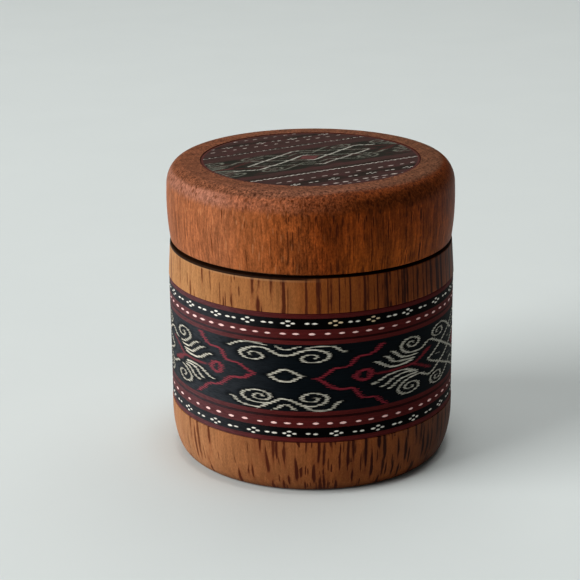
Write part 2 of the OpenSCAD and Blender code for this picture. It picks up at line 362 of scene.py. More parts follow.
# ------------------------------------------------------------------ turned shapes
def rounded(points, most=1.1):
    """A turned profile from (r, z, fillet) corners: an arc at each fillet, and points along the straights."""
    n = len(points)
    way = []
    for i, (r, z, f) in enumerate(points):
        here = np.array((r, z), float)
        if f <= 0 or i in (0, n - 1):
            way.append(here)
            continue
        a = np.array(points[i - 1][:2], float) - here
        b = np.array(points[i + 1][:2], float) - here
        la, lb = np.linalg.norm(a), np.linalg.norm(b)
        a, b = a / la, b / lb
        half = math.acos(np.clip(a @ b, -1, 1)) / 2
        back = min(f / math.tan(half), la * 0.499, lb * 0.499)
        rad = back * math.tan(half)
        mid = here + (a + b) / np.linalg.norm(a + b) * rad / math.sin(half)
        s, e = here + a * back - mid, here + b * back - mid
        turn = math.atan2(s[0] * e[1] - s[1] * e[0], s @ e)
        k = max(3, int(abs(turn) / 0.16), int(abs(turn) * rad / 0.6))
        for j in range(k + 1):
            t = turn * j / k
            way.append(mid + (s[0] * math.cos(t) - s[1] * math.sin(t), s[0] * math.sin(t) + s[1] * math.cos(t)))
    out = [way[0]]
    for w in way[1:]:
        length = np.linalg.norm(w - out[-1])
        if length < 1e-6:
            continue
        k = max(1, int(math.ceil(length / most)))
        start = out[-1]
        if length > 0.8:
            cuts = [0.12 / length] + [j / k for j in range(1, k)] + [1 - 0.12 / length, 1.0]
        else:
            cuts = [1.0]
        for c in cuts:
            out.append(start + (w - start) * c)
    return np.array(out)


def finish_mesh(name, verts, faces, mat, smooth=True):
    me = bpy.data.meshes.new(name)
    me.from_pydata([tuple(v) for v in verts], [], [tuple(f) for f in faces])
    me.validate()
    me.update()
    me.polygons.foreach_set("use_smooth", [smooth] * len(me.polygons))
    ob = bpy.data.objects.new(name, me)
    bpy.context.scene.collection.objects.link(ob)
    me.materials.append(mat)
    return ob


def turned(name, profile, mat, seg=320, closed=False, shake=0.0):
    """Revolves a profile in millimetres about Z. A profile that starts and ends on the axis closes itself."""
    prof = np.array(profile, float)
    ang = np.arange(seg) * 2 * math.pi / seg
    verts, index = [], []
    wob = np.random.RandomState(len(name) * 7 + seg)
    ph = wob.uniform(0, 6.28, 6)
    for r, z in prof:
        if r < 1e-6:
            index.append([len(verts)])
            verts.append((0.0, 0.0, z * MM))
            continue
        index.append(list(range(len(verts), len(verts) + seg)))
        dr = shake * (np.sin(2 * ang + ph[0] + z * 0.03) + 0.6 * np.sin(3 * ang + ph[1] + z * 0.05)
                      + 0.4 * np.sin(5 * ang + ph[2] - z * 0.07) - 2.0)
        rr = (r + dr) * MM
        for a, q in zip(ang, rr):
            verts.append((q * math.sin(a), -q * math.cos(a), z * MM))
    run = np.concatenate([[0], np.cumsum(np.hypot(*np.diff(prof, axis=0).T))])
    run = run / run[-1]
    faces, uvs = [], []
    rows = list(range(len(prof) - 1))
    pairs = [(k, k + 1, run[k], run[k + 1]) for k in rows]
    if closed:
        pairs.append((len(prof) - 1, 0, 1.0, 1.0))
    for k, m, v0, v1 in pairs:
        a, b = index[k], index[m]
        for j in range(seg):
            n = (j + 1) % seg
            u0, u1 = j / seg, (j + 1) / seg
            if len(a) == 1 and len(b) == 1:
                continue
            if len(a) == 1:
                faces.append((a[0], b[n], b[j])); uvs += [((u0 + u1) / 2, v0), (u1, v1), (u0, v1)]
            elif len(b) == 1:
                faces.append((a[j], a[n], b[0])); uvs += [(u0, v0), (u1, v0), ((u0 + u1) / 2, v1)]
            else:
                faces.append((a[j], a[n], b[n], b[j])); uvs += [(u0, v0), (u1, v0), (u1, v1), (u0, v1)]
    ob = finish_mesh(name, verts, faces, mat)
    layer = ob.data.uv_layers.new(name="OFBake")
    layer.uv.foreach_set("vector", np.array(uvs, np.float32).ravel())
    return ob


def lid_side(z):
    return LID_MAX - (LID_MAX - LID_LOW) * ((z - LID_Z - LID_WIDE) / LID_WIDE) ** 2


def body_profile():
    g = BODY_R - 0.55
    foot = [(BODY_R - 3.8 + 3.8 * math.cos(a), 12.5 + 12.5 * math.sin(a), 0) for a in np.linspace(-math.pi / 2, 0, 32)]
    return rounded([(0, 0, 0)] + foot + [
        (BODY_R, BAND_Z - 0.1, 0.12), (g, BAND_Z - 0.1, 0), (g, BAND_Z + BAND_W + 0.1, 0),
        (BODY_R, BAND_Z + BAND_W + 0.1, 0.12), (BODY_R - 0.6, RIM_Z, 0.35),
        (NECK_R + 0.05, RIM_Z, 0.3), (NECK_R + 0.05, RIM_Z - 9, 0), (CUP_R, RIM_Z - 9, 0.15),
        (CUP_R, FLOOR_T, 3.0), (0, FLOOR_T, 0)])


def neck_profile():
    return rounded([
        (CUP_R, 56.0, 0), (CUP_R, RIM_Z - 9, 0.1), (NECK_R, RIM_Z - 9, 0.1),
        (NECK_R, SEAT_Z, 0.6), (CUP_R, SEAT_Z, 0.4), (CUP_R, 56.0, 0)], most=0.9)[:-1]


def lid_profile():
    sh_z = TOP_Z - 6.4
    top_r = lid_side(sh_z) - 5.0
    side = [(lid_side(z), z, 0) for z in np.linspace(LID_Z + 0.9, sh_z, 18)]
    side += [(top_r + 5.0 * math.cos(a), sh_z + 6.4 * math.sin(a), 0)
             for a in np.linspace(0, math.pi / 2, 26)[1:]]
    return rounded(
        [(0, SEAT_Z + 9, 0), (CUP_R, SEAT_Z + 9, 3.0), (CUP_R, SEAT_Z, 0.2), (37.0, SEAT_Z, 0),
         (37.0, LID_Z, 0.35), (lid_side(LID_Z), LID_Z, 0.8)]
        + side
        + [(DISC_R + 0.1, TOP_Z, 0.10), (DISC_R + 0.1, TOP_Z - 0.55, 0), (0, TOP_Z - 0.55, 0)])


# ------------------------------------------------------------------ cloth figures
# s runs along the cloth from the middle of the eye, t across it; both in millimetres.
# The design meets itself at the lattice, half a turn of the box from the eye.
AXIS = math.pi * BODY_R / 2
STRETCH = 0.44           # resist-dyed edges smear along the threads


def ease(points):
    """Spreads the lattice's points a little, so that the design meets itself behind the box."""
    k = (AXIS - 61.4) / (61.4 - 38)
    return [(s if abs(s) < 38 else s + math.copysign(k * (abs(s) - 38), s), t) for s, t in points]


def spline(points, n=7):
    p = np.array(points, float)
    if len(p) == 2:
        return p[0] + (p[1] - p[0]) * np.linspace(0, 1, n)[:, None]
    e = np.vstack([2 * p[0] - p[1], p, 2 * p[-1] - p[-2]])
    out = []
    for i in range(1, len(e) - 2):
        t = np.linspace(0, 1, n, endpoint=False)[:, None]
        a, b, c, d = e[i - 1], e[i], e[i + 1], e[i + 2]
        out.append(0.5 * (2 * b + (c - a) * t + (2 * a - 5 * b + 4 * c - d) * t ** 2 + (3 * b - a - 3 * c + d) * t ** 3))
    out.append(e[-2][None])
    return np.vstack(out)


def stroke(w, w_end, *points):
    """A drawn line through points (s, t); its half-width goes from w to w_end."""
    line = spline(ease(points))
    run = np.concatenate([[0], np.cumsum(np.hypot(*np.diff(line, axis=0).T))])
    tip = np.minimum(1, 0.45 + np.minimum(run, run[-1] - run) / 1.8)
    return line, np.linspace(w, w_end, len(line)) * tip


def ring(w, c, t, a, b):
    """A drawn ring about (c, t), a long and b tall; the line's end covers its start."""
    return stroke(w, w, *[(c - a * math.cos(k), t + b * math.sin(k)) for k in np.linspace(0, 7.2, 22)])


def lozenge(c, t, long, tall):
    u = np.linspace(-1, 1, 9)
    return np.array(ease([(c, t + tall * k) for k in u])), long * STRETCH * (1 - np.abs(u)) + 0.05


def mirror(strokes):
    return [(line * (-1.0, 1.0), width) for line, width in strokes]


def whole(strokes):
    """Adds what reaches over from the next repeat."""
    out = list(strokes)
    for line, width in strokes:
        for way in (-1, 1):
            moved = line + (way * 2 * AXIS, 0.0)
            if moved[:, 0].min() < AXIS + 2 and moved[:, 0].max() > -AXIS - 2:
                out.append((moved, width))
    return out


EYE = [
    stroke(0.30, 0.22, (-0.8, 2.10), (0, 2.14), (1.1, 1.92), (2.2, 1.42), (3.0, 1.02), (3.8, 0.66), (4.7, 0.40), (5.7, 0.33)),
    stroke(0.30, 0.26, (-0.8, -1.22), (0.2, -1.27), (1.2, -1.2), (2.1, -0.98), (3.0, -0.5), (3.8, -0.05), (4.6, 0.24)),
]

SCROLLS_R = [
    # crest, then the long line that winds into the upper scroll, and the cap over the middle
    stroke(0.24, 0.22, (5.0, 8.22), (7, 8.52), (9.5, 8.72), (12, 8.62), (13.6, 8.2), (14.8, 7.5), (15.7, 7.05), (17.4, 6.95)),
    stroke(0.28, 0.20, (-1.0, 6.0), (0, 6.03), (1.5, 6.25), (2.5, 6.62), (3.5, 7.08), (4.6, 7.42), (6, 7.72), (7.5, 7.82), (9, 7.66),
           (10.4, 7.25), (11.3, 6.7), (11.7, 6.05), (11.3, 5.35), (10.2, 4.8), (8.8, 4.38), (7.4, 4.25), (6, 4.32), (4.9, 4.62),
           (4.25, 5.1), (4.5, 5.7), (5.4, 6.2), (6.7, 6.45), (7.9, 6.3), (8.6, 5.9), (8.0, 5.45), (7.1, 5.25)),
    stroke(0.24, 0.20, (-1.0, 7.7), (0, 7.65), (1.2, 7.8), (2.0, 8.15), (2.9, 8.48), (3.9, 8.66)),
    # the same below
    stroke(0.28, 0.20, (-1.0, -6.2), (0, -6.3), (1.2, -6.42), (2.2, -6.85), (3.5, -7.42), (5.0, -7.95), (6.5, -8.15), (8, -8.05), (9.5, -7.65),
           (10.7, -7.0), (11.3, -6.15), (11.0, -5.35), (9.8, -4.75), (8.3, -4.42), (6.8, -4.42), (5.4, -4.85), (4.5, -5.55), (4.6, -6.2),
           (5.6, -6.7), (7, -6.86), (8.3, -6.65), (8.9, -6.15), (8.3, -5.68), (7.1, -5.62)),
    stroke(0.22, 0.24, (4.3, -8.3), (5.6, -8.5), (6.6, -9.0), (8, -9.32), (10, -9.38), (11.5, -9.22), (12.6, -8.72), (13.3, -8.1),
           (13.9, -7.45), (14.6, -7.05), (15.7, -6.95)),
    stroke(0.24, 0.22, (-0.6, -7.85), (0, -7.82), (0.8, -7.97), (1.5, -8.4), (2.1, -8.95), (3.0, -9.3)),
]

SCROLLS_L = [
    stroke(0.24, 0.22, (-5.4, 8.5), (-7, 8.8), (-9, 8.95), (-11, 8.9), (-13, 8.55), (-14.3, 8.1), (-15.3, 7.5), (-16.2, 7.15), (-17.5, 7.05)),
    stroke(0.28, 0.20, (1.0, 6.05), (0, 6.03), (-1.5, 6.1), (-2.6, 6.38), (-3.5, 6.85), (-4.5, 7.42), (-5.6, 7.75), (-7.2, 7.88), (-9, 7.62),
           (-10.6, 7.15), (-12.0, 6.6), (-12.9, 5.9), (-12.6, 5.1), (-11.3, 4.42), (-9.6, 4.22), (-8, 4.36), (-6.8, 4.8),
           (-6.2, 5.35), (-6.9, 5.95), (-8.2, 6.4), (-9.4, 6.32), (-10.2, 5.85), (-9.9, 5.4), (-9.2, 5.35)),
    stroke(0.35, 0.30, (-10.9, 6.75), (-12.0, 6.35), (-12.9, 5.65)),
    stroke(0.24, 0.20, (1.0, 7.7), (0, 7.65), (-1.2, 7.82), (-2.0, 8.2), (-3.2, 8.6)),
    stroke(0.26, 0.20, (-3.4, -7.55), (-4.6, -7.7), (-6, -7.82), (-8, -7.84), (-10, -7.6), (-11.3, -7.15), (-12.2, -6.5), (-12.5, -5.85),
           (-11.8, -5.25), (-10.5, -4.75), (-9, -4.4), (-7.5, -4.3), (-6, -4.5), (-4.8, -5.0), (-4.1, -5.7), (-4.4, -6.4), (-5.5, -6.82),
           (-7, -6.95), (-8.3, -6.7), (-9, -6.15), (-8.5, -5.55), (-7.5, -5.32), (-6.5, -5.55), (-6.4, -5.95), (-7.3, -6.02)),
    stroke(0.28, 0.22, (1.0, -6.35), (0, -6.25), (-1, -6.22), (-2.2, -6.65), (-3.5, -7.25), (-4.8, -7.9), (-5.9, -8.4), (-6.9, -8.85), (-8.0, -9.15),
           (-9.5, -9.08), (-11.5, -8.92), (-13, -8.65), (-14, -8.15), (-14.7, -7.55), (-15.4, -7.15), (-16.9, -7.05)),
    stroke(0.34, 0.28, (-7.2, -9.28), (-8.2, -9.33)),
    stroke(0.24, 0.22, (0.6, -7.9), (0, -7.82), (-1.0, -8.1), (-1.9, -8.65), (-2.7, -9.15), (-3.7, -9.42)),
]

PLUMES_R = [
    stroke(0.25, 0.34, (23.8, 3.05), (25.2, 2.78), (26.2, 2.35), (27.3, 1.7), (28.2, 1.12), (29.4, 0.72), (31, 0.57), (33, 0.62), (35, 0.8), (37.0, 1.1)),
    stroke(0.25, 0.29, (27.0, 4.15), (28.3, 3.7), (29.2, 3.0), (30, 2.25), (31, 1.88), (33, 1.7), (35.5, 1.58), (38.2, 1.55)),
    stroke(0.25, 0.29, (29.0, 5.15), (30.3, 4.68), (31.3, 3.95), (32.2, 3.2), (33.2, 2.72), (34.7, 2.46), (36.5, 2.32), (39.2, 2.35)),
    stroke(0.27, 0.21, (39.6, 3.2), (38, 3.18), (36, 3.28), (34.8, 3.6), (33.6, 4.2), (32.8, 5.0), (32.7, 5.8), (33.3, 6.6), (34.4, 7.2), (35.8, 7.48),
           (37.3, 7.36), (38.6, 6.9), (39.2, 6.2), (38.9, 5.5), (37.9, 4.98), (36.7, 4.8), (35.5, 5.1), (34.95, 5.65), (35.3, 6.2), (36.2, 6.38), (37.0, 6.1), (37.3, 5.7)),
    stroke(0.30, 0.27, (22.8, -3.0), (24.2, -3.1), (25.6, -3.08)),
    stroke(0.25, 0.28, (24.6, -2.72), (26, -2.42), (27.2, -1.92), (28.5, -1.5), (30, -1.25), (32, -1.1), (34, -1.15), (35.5, -1.42), (36.9, -2.0), (38.7, -2.75)),
    stroke(0.25, 0.28, (25.5, -4.45), (27.0, -4.3), (28.3, -3.8), (29.3, -3.2), (30.5, -2.62), (32, -2.2), (34, -2.0), (35.8, -2.1), (37.4, -2.55)),
    stroke(0.25, 0.28, (27.7, -5.45), (29, -5.33), (30.2, -4.8), (31.5, -4.0), (33, -3.42), (35, -3.15), (37, -3.1), (39.2, -3.2)),
    stroke(0.27, 0.21, (39.6, -3.72), (38, -3.75), (36.5, -3.9), (35, -4.2), (33.5, -4.8), (32.3, -5.6), (31.8, -6.5), (32.3, -7.4), (33.6, -8.0), (35.3, -8.22),
           (37, -8.08), (38.5, -7.6), (39.3, -6.9), (39.0, -6.1), (38, -5.5), (36.5, -5.25), (34.9, -5.5), (34.1, -6.1), (34.4, -6.75), (35.5, -7.02), (36.8, -6.88), (37.2, -6.5), (36.2, -6.25)),
]

PLUMES_L = [
    stroke(0.25, 0.37, (-22.0, 2.95), (-23.6, 2.7), (-25, 2.0), (-26.2, 1.35), (-27.5, 0.82), (-29, 0.52), (-31, 0.44), (-33, 0.55), (-35.0, 0.85)),
    stroke(0.25, 0.31, (-24.8, 4.2), (-26.5, 3.9), (-27.8, 3.3), (-28.8, 2.6), (-29.8, 1.92), (-31, 1.5), (-33, 1.38), (-35.5, 1.42)),
    stroke(0.25, 0.31, (-27.4, 5.0), (-29.2, 4.58), (-30.5, 3.85), (-31.6, 3.0), (-32.8, 2.5), (-34.5, 2.3), (-36.8, 2.3)),
    stroke(0.28, 0.22, (-38, 3.15), (-36, 3.15), (-34.8, 3.4), (-33.5, 4.0), (-32.3, 4.8), (-31.7, 5.7), (-32.3, 6.5), (-33.5, 7.1), (-35.2, 7.3), (-37, 7.0),
           (-38.3, 6.4), (-38.6, 5.6), (-37.8, 4.95), (-36.5, 4.7), (-35.2, 5.0), (-34.8, 5.6), (-35.5, 6.05), (-36.4, 5.85)),
    stroke(0.25, 0.30, (-21.4, -3.8), (-22.8, -3.85), (-24, -3.42), (-25.2, -2.95), (-26.2, -2.4), (-27.3, -2.0), (-28.7, -1.78), (-31, -1.72), (-33, -1.85), (-34.7, -2.2)),
    stroke(0.25, 0.30, (-24.8, -4.7), (-26.5, -4.58), (-27.7, -4.0), (-28.7, -3.2), (-30, -2.62), (-32, -2.48), (-34.7, -2.72)),
    stroke(0.25, 0.30, (-26.6, -5.6), (-28.5, -5.5), (-29.8, -5.15), (-30.8, -4.5), (-31.8, -3.8), (-33, -3.32), (-35.2, -3.2)),
    stroke(0.28, 0.22, (-37.5, -3.6), (-36, -3.85), (-34.5, -4.2), (-33.2, -4.8), (-32.2, -5.5), (-31.6, -6.3), (-32.1, -7.1), (-33.3, -7.7), (-35, -8.0), (-36.8, -7.8),
           (-38.2, -7.2), (-38.7, -6.4), (-38, -5.72), (-36.8, -5.4), (-35.5, -5.52), (-34.8, -6.1), (-35.3, -6.6), (-36.3, -6.65)),
]

LATTICE = [
    stroke(0.27, 0.25, (38.5, 3.1), (40.2, 3.3), (41.3, 3.8), (42.3, 4.4), (43.2, 4.72), (44.4, 4.68), (45.6, 4.3), (47, 3.6), (48.5, 2.9), (50, 2.3), (52, 1.2),
           (54, 0.2), (55.7, -0.5), (57.5, -1.4), (59.5, -2.5), (61.4, -3.3), (62.5, -2.9)),
    stroke(0.27, 0.25, (38.5, -3.65), (40, -3.8), (41.3, -4.3), (42.5, -4.88), (43.7, -5.15), (45, -4.98), (46.5, -4.4), (48, -3.7), (50, -2.9), (52, -2.1),
           (54, -1.2), (55.7, -0.4), (57.5, 0.6), (59.5, 1.7), (61.4, 2.6), (62.5, 2.2)),
    stroke(0.27, 0.22, (42.9, -0.72), (44.2, -0.3), (45.5, 0.3), (46.8, 1.0), (48.2, 1.6), (50, 2.5), (51.5, 3.2), (53.2, 3.95), (55, 4.8), (57, 5.9), (59, 6.9), (61.4, 7.9), (62.5, 7.5)),
    stroke(0.24, 0.22, (43.2, -0.85), (44.5, -1.5), (46, -2.2), (48.2, -2.9), (50, -3.6), (52, -4.5), (54.5, -5.5), (57, -6.5), (59.5, -7.6), (61.4, -8.5), (62.5, -8.1)),
    stroke(0.24, 0.20, (61.4, 5.6), (60.0, 5.0), (58, 3.95), (56.6, 4.6), (55.4, 5.5), (54, 6.4), (52, 7.45), (50, 8.0), (48, 7.9), (46.3, 7.4), (45.1, 6.6), (45.3, 5.7), (46.5, 5.02), (48.3, 4.72),
           (49.9, 5.0), (50.7, 5.6), (50.2, 6.4), (49, 6.78), (47.6, 6.6), (47.05, 6.1), (47.6, 5.72), (48.5, 5.72)),
    stroke(0.24, 0.20, (61.4, -6.2), (60.0, -5.6), (58, -4.6), (56.6, -5.1), (55.2, -5.9), (53.6, -6.75), (52, -7.6), (50.4, -8.4), (48.5, -8.85), (46.5, -8.7), (45.1, -8.1), (44.4, -7.2), (44.9, -6.3), (46.3, -5.8),
           (48, -5.62), (49.5, -6.0), (50.1, -6.8), (49.5, -7.55), (48.2, -7.9), (46.9, -7.6), (46.5, -7.05), (47.4, -6.72), (48.5, -6.9)),
    stroke(0.22, 0.16, (47.2, -0.45), (49, -0.7), (50.8, -0.85)),
    stroke(0.20, 0.16, (53.8, 2.35), (55.6, 2.2), (57.4, 2.3)),
    stroke(0.20, 0.16, (53.8, -3.1), (55.6, -3.0), (57.4, -3.1)),
]

BEAMS = whole(LATTICE[1:3] + mirror([LATTICE[0], LATTICE[3]]))
CREAM = whole(EYE + mirror(EYE) + SCROLLS_R + SCROLLS_L + PLUMES_R + PLUMES_L + LATTICE + mirror(LATTICE))

RED = whole([
    # stepped chevrons on both sides of the eye
    stroke(0.36, 0.24, (27.7, 7.5), (26.8, 7.75), (26.0, 7.3), (25.3, 6.7), (24.6, 6.12), (23.5, 5.65), (22.3, 5.35), (20.9, 5.28), (19.8, 5.2), (19.0, 4.85), (18.5, 4.2),
           (18.0, 3.55), (17.3, 2.92), (16.3, 2.65), (15, 2.58), (13.6, 2.38), (12.6, 2.02), (11.6, 1.4), (10.8, 0.8), (10.1, 0.3), (9.4, -0.12), (8.6, -0.2), (7.5, -0.1)),
    stroke(0.34, 0.26, (8.9, -0.3), (9.6, -0.8), (10.3, -1.3), (11.2, -1.9), (12, -2.5), (12.8, -3.0), (13.8, -3.32), (15, -3.48), (16.5, -3.5), (18, -3.45), (18.7, -3.8),
           (19.1, -4.5), (19.7, -5.3), (20.3, -6.0), (21, -6.48), (22.5, -6.72), (24, -6.8), (25, -7.1), (25.7, -7.8), (26.4, -8.5), (27.3, -9.15), (28.4, -9.6)),
    stroke(0.34, 0.26, (-28.0, 8.4), (-27, 8.4), (-26, 7.85), (-25.5, 7.2), (-24.9, 6.5), (-24, 5.9), (-22.8, 5.55), (-21, 5.48), (-19.4, 5.25), (-18.7, 4.7), (-18.3, 4.0),
           (-17.9, 3.3), (-17.1, 2.72), (-15.8, 2.5), (-14, 2.48), (-12.8, 2.25), (-11.9, 1.7), (-11, 1.15), (-10.2, 0.75), (-9.2, 0.52), (-8.2, 0.42)),
    stroke(0.36, 0.26, (-8.5, 0.25), (-9.3, -0.1), (-10.2, -0.65), (-11.3, -1.25), (-12.5, -1.58), (-14.5, -1.72), (-16, -2.0), (-17, -2.65), (-17.8, -3.5), (-18.8, -4.25),
           (-20, -4.85), (-21.5, -5.2), (-23.2, -5.5), (-24.5, -6.2), (-25.5, -7.0), (-26.5, -7.75), (-27.5, -8.4), (-28.8, -9.0)),
    # rings on the stems
    ring(0.39, 21.4, -0.15, 2.15, 1.40), ring(0.38, -20.7, -0.2, 1.75, 1.38),
    # heart of the lattice
    lozenge(61.4, -0.35, 2.7, 2.9),
    # where the stems fork
    stroke(0.25, 0.34, (35.0, -0.25), (36.5, -0.2), (37.6, -0.32), (38.8, -0.8)),
])

DARK_RED = whole([
    stroke(0.32, 0.34, (24.8, -0.38), (27, -0.45), (30, -0.45), (33, -0.32), (36.5, -0.18), (38.2, 0.05), (39.8, 0.75), (41.5, 1.6), (43.0, 2.25), (44.3, 2.65)),
    stroke(0.42, 0.46, (40.8, 1.35), (42.5, 2.1), (44.0, 2.6)),
    stroke(0.34, 0.26, (37.0, -0.28), (39, -0.95), (41, -1.9), (42.8, -2.7), (44.6, -3.4)),
    stroke(0.32, 0.34, (-24.2, -0.35), (-27, -0.58), (-30, -0.64), (-33, -0.6), (-35, -0.72), (-36.5, -1.3), (-38, -2.0), (-40, -2.95), (-41.5, -3.5)),
    stroke(0.50, 0.60, (-36.5, -1.35), (-38.5, -2.25), (-41.2, -3.4)),
    stroke(0.32, 0.30, (-35.0, -0.5), (-37, 0.2), (-39, 1.2), (-41, 2.1), (-43, 2.7)),
])


def nearness(strokes, s, t, far=1.0):
    """How far each point is from the edge of the nearest stroke, less than 0 inside it,
    and how steeply that stroke crosses the threads there, from 0 to 1."""
    out = np.full(s.shape, far)
    rise = np.zeros(s.shape)
    q = np.stack([s * STRETCH, t], -1)
    for line, width in strokes:
        l = line * (STRETCH, 1.0)
        lo, hi = l.min(0) - far - 0.6, l.max(0) + far + 0.6
        near = np.nonzero(((q >= lo) & (q <= hi)).all(-1))
        if not len(near[0]):
            continue
        pts = q[near]
        best, up = out[near], rise[near]
        for a, b, wa, wb in zip(l[:-1], l[1:], width[:-1], width[1:]):
            d = b - a
            k = np.clip(((pts - a) @ d) / max(d @ d, 1e-9), 0, 1)
            dist = np.hypot(*(pts - a - k[:, None] * d).T) - (wa + (wb - wa) * k)
            up = np.where(dist < best, abs(d[1]) / max(math.hypot(*d), 1e-9), up)
            best = np.minimum(best, dist)
        out[near], rise[near] = best, up
    return out, rise


def wave_noise(seed, freq, n=7):
    """A smooth seeded noise of two numbers, between about -1 and 1."""
    r = np.random.RandomState(seed)
    ks = r.normal(0, freq, (n, 2))
    ph = r.uniform(0, 2 * math.pi, n)
    return lambda a, b: sum(np.sin(k[0] * a + k[1] * b + f) for k, f in zip(ks, ph)) / math.sqrt(n)


def motif(s, t):
    """Distances to the cream, red and dark red figures on the grid of places s along and t across the cloth,
    and to the straight beams of the lattice, each with its steepness."""
    S, T = np.meshgrid(s, t)
    S1 = S + 0.12 * wave_noise(51, 0.10)(S, T)
    T1 = T + 0.07 * wave_noise(52, 0.09)(S, T)
    S1 = (S1 + AXIS) % (2 * AXIS) - AXIS
    return [nearness(k, S1, T1) for k in (CREAM, RED, DARK_RED, BEAMS)]


def floats(spots, s, t):
    """How far each place on the grid is from the edge of the nearest woven float, less than 0 inside it.
    Each spot is (s, t, half-length, half-width)."""
    out = np.full((len(t), len(s)), 1.0)
    for cs, ct, a, b in spots:
        i0, i1 = np.searchsorted(s, (cs - a - 0.8, cs + a + 0.8))
        j0, j1 = np.searchsorted(t, (ct - b - 0.8, ct + b + 0.8))
        if i0 >= i1 or j0 >= j1:
            continue
        k = (np.abs(s[i0:i1][None] - cs) / a) ** 1.7 + (np.abs(t[j0:j1][:, None] - ct) / b) ** 1.7
        out[j0:j1, i0:i1] = np.minimum(out[j0:j1, i0:i1], (k ** (1 / 1.7) - 1) * b)
    return out


def onward(places, lo, hi, step, r):
    """Carries a row of places on at both ends, a step at a time."""
    row = list(places)
    while row[0] > lo:
        row.insert(0, row[0] - step + r.uniform(-0.3, 0.3))
    while row[-1] < hi:
        row.append(row[-1] + step + r.uniform(-0.3, 0.3))
    return row


def cross_row(t, places, r, size=1.0):
    """Small crosses of four floats, and a pair of dashes halfway to the next."""
    spots = []
    for c, nxt in zip(places[:-1], places[1:]):
        for ds, dt, a, b in ((-1.36, 0.0, 0.64, 0.25), (1.36, 0.0, 0.64, 0.25), (0.05, 0.60, 0.66, 0.23), (0.0, -0.60, 0.66, 0.23)):
            spots.append((c + size * ds + r.uniform(-0.1, 0.1), t + size * dt + r.uniform(-0.05, 0.05),
                          size * a * r.uniform(0.9, 1.1), size * b * r.uniform(0.92, 1.1)))
        m = (c + nxt) / 2 + r.uniform(-0.25, 0.25)
        for ds in (-1.0, 1.0):
            spots.append((m + size * ds, t + r.uniform(-0.08, 0.08), size * 0.78 * r.uniform(0.85, 1.08), size * 0.24 * r.uniform(0.85, 1.15)))
    return spots


def dot_row(t, places, r, size=1.0):
    return [(c + r.uniform(-0.1, 0.1), t + r.uniform(-0.08, 0.08), size * 0.95 * r.uniform(0.84, 1.1),
             size * 0.285 * r.uniform(0.8, 1.15)) for c in places]


def rope_row(t, places, size):
    spots = []
    for c in places:
        spots += [(c, t + 0.16, size * 0.50, size * 0.20), (c + 0.86, t - 0.16, size * 0.44, size * 0.18)]
    return spots


# ------------------------------------------------------------------ cloth material
NAVY = (0.0027, 0.0044, 0.0060)
BLACK = (0.0007, 0.0006, 0.0006)
MAROON = (0.076, 0.0100, 0.0094)
DEEP = (0.018, 0.0024, 0.0024)
BROWN = (0.044, 0.0230, 0.0200)
DARK = (0.0205, 0.0135, 0.0105)
MOSS = (0.0165, 0.0158, 0.0118)
THREAD = 0.484          # spacing of the cloth's ribs, mm


def stripes(sh, v, lo, table):
    """Bands of colour across the cloth: table holds (upper limit, colour), going up from lo."""
    hi = table[-1][0]
    n = sh.node("ShaderNodeValToRGB")
    ramp = n.color_ramp
    ramp.interpolation = "CONSTANT"
    ramp.elements.remove(ramp.elements[1])
    ramp.elements[0].position = 0.0
    ramp.elements[0].color = (*table[0][1], 1.0)
    for (start, _), (_, col) in zip(table[:-1], table[1:]):
        ramp.elements.new((start - lo) / (hi - lo)).color = (*col, 1.0)
    sh.put(n.inputs[0], sh.line(v, lo, hi))
    return n.outputs[0]


